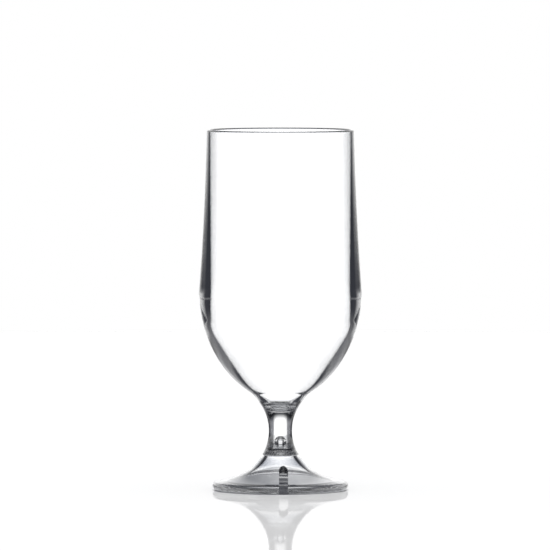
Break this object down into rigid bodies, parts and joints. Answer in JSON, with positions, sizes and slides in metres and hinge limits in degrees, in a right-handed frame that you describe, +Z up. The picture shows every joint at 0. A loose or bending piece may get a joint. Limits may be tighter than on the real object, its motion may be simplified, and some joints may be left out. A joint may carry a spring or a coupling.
{
  "type": "beer goblet",
  "caption": "Clear stemmed beer goblet: a tall thick-walled bowl on a solid waisted stem and a hollow flared foot with a drain slot.",
  "frame": {"origin": "middle of the ring that the foot stands on, at table level", "axes": "+Z up along the axis of the goblet, -Y towards the side with the drain slot, +X to the right seen from that side"},
  "size_m": [0.0892, 0.0892, 0.197],
  "materials": {
    "clear_bowl": "polished clear moulded plastic",
    "clear_stem": "polished clear moulded plastic, solid",
    "clear_foot": "polished clear moulded plastic"
  },
  "bodies": {
    "root": {"bowl": "clear_bowl", "stem": "clear_stem", "foot": "clear_foot"}
  },
  "joints": []
}
